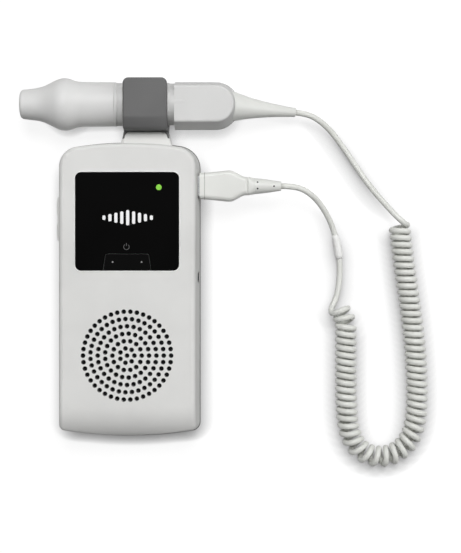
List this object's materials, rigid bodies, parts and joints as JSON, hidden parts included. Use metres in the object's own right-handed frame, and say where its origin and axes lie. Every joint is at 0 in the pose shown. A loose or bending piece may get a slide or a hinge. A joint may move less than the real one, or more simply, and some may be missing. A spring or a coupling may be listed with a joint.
{
  "type": "handheld doppler",
  "caption": "Pocket doppler unit with a loudspeaker grille and black window, a pencil probe held in a side clip, and a curly cord that plugs into the right side.",
  "frame": {"origin": "Middle of the unit's flat back face, on the surface that the unit lies on.", "axes": "+Z out of the front face with the window and grille, +Y along the unit towards the probe, +X to the right side where the cord plugs in."},
  "size_m": [0.1986, 0.1898, 0.0292],
  "materials": {
    "case_plastic": "fine moulded grain",
    "window_black": "glossy",
    "lamp_green": "clear",
    "black_plastic": "moulded",
    "board_green": "lacquered",
    "steel": "plated",
    "gold_contact": "plated",
    "dark_cloth": "woven",
    "cell_wrap": "film",
    "clip_grey": "moulded",
    "probe_plastic": "fine moulded grain",
    "lens_grey": "smooth",
    "ceramic": "fired",
    "cord_grey": "soft vinyl",
    "sleeve_white": "smooth"
  },
  "bodies": {
    "main_unit": {"front_shell": "case_plastic", "rear_shell": "case_plastic", "window_panel": "window_black", "status_lens": "lamp_green", "status_lamp": "lamp_green", "power_switch": "black_plastic", "main_board": "board_green", "board_screws": "steel", "case_screws": "steel", "speaker_cloth": "dark_cloth", "speaker_frame": "steel", "speaker_cone": "dark_cloth", "speaker_magnet": "steel", "probe_socket": "black_plastic", "socket_contacts": "gold_contact", "headphone_jack": "black_plastic", "rocker_pin": "steel", "volume_switches": "black_plastic", "battery_cells": "cell_wrap", "battery_contacts": "steel", "battery_springs": "steel", "probe_clip": "clip_grey", "clip_screw": "steel"},
    "power_key": {"power_key": "window_black", "switch_plunger": "black_plastic"},
    "volume_rocker": {"volume_rocker": "case_plastic"},
    "battery_door": {"battery_door": "case_plastic"},
    "probe": {"probe_nose": "probe_plastic", "acoustic_lens": "lens_grey", "transducer_crystals": "ceramic", "crystal_backing": "ceramic", "probe_upper_shell": "probe_plastic", "probe_lower_shell": "probe_plastic", "probe_board": "board_green", "probe_boot": "cord_grey"},
    "plug": {"plug_housing": "cord_grey", "plug_tongue": "steel", "plug_contacts": "gold_contact", "plug_boot": "cord_grey", "plug_lead": "cord_grey", "cord_sleeve": "sleeve_white", "curly_cord": "cord_grey", "probe_lead": "cord_grey"}
  },
  "joints": [
    {"name": "key_press", "type": "slide", "parent": "main_unit", "child": "power_key", "axis": [0, 0, -1], "range_m": [0, 0.0005], "stiffness_N_per_m": 800},
    {"name": "rocker_tilt", "type": "hinge", "parent": "main_unit", "child": "volume_rocker", "pos_m": [-0.03058, 0.0337, 0.017], "axis": [0, 0, 1], "range_deg": [-3, 3], "stiffness_Nm_per_rad": 0.5},
    {"name": "door_slide", "type": "slide", "parent": "main_unit", "child": "battery_door", "axis": [0, -1, 0], "range_m": [0, 0.065]},
    {"name": "probe_lift", "type": "slide", "parent": "main_unit", "child": "probe", "axis": [0, 1, 0], "range_m": [0, 0.035]},
    {"name": "plug_pull", "type": "slide", "parent": "main_unit", "child": "plug", "axis": [1, 0, 0], "range_m": [0, 0.014]}
  ]
}
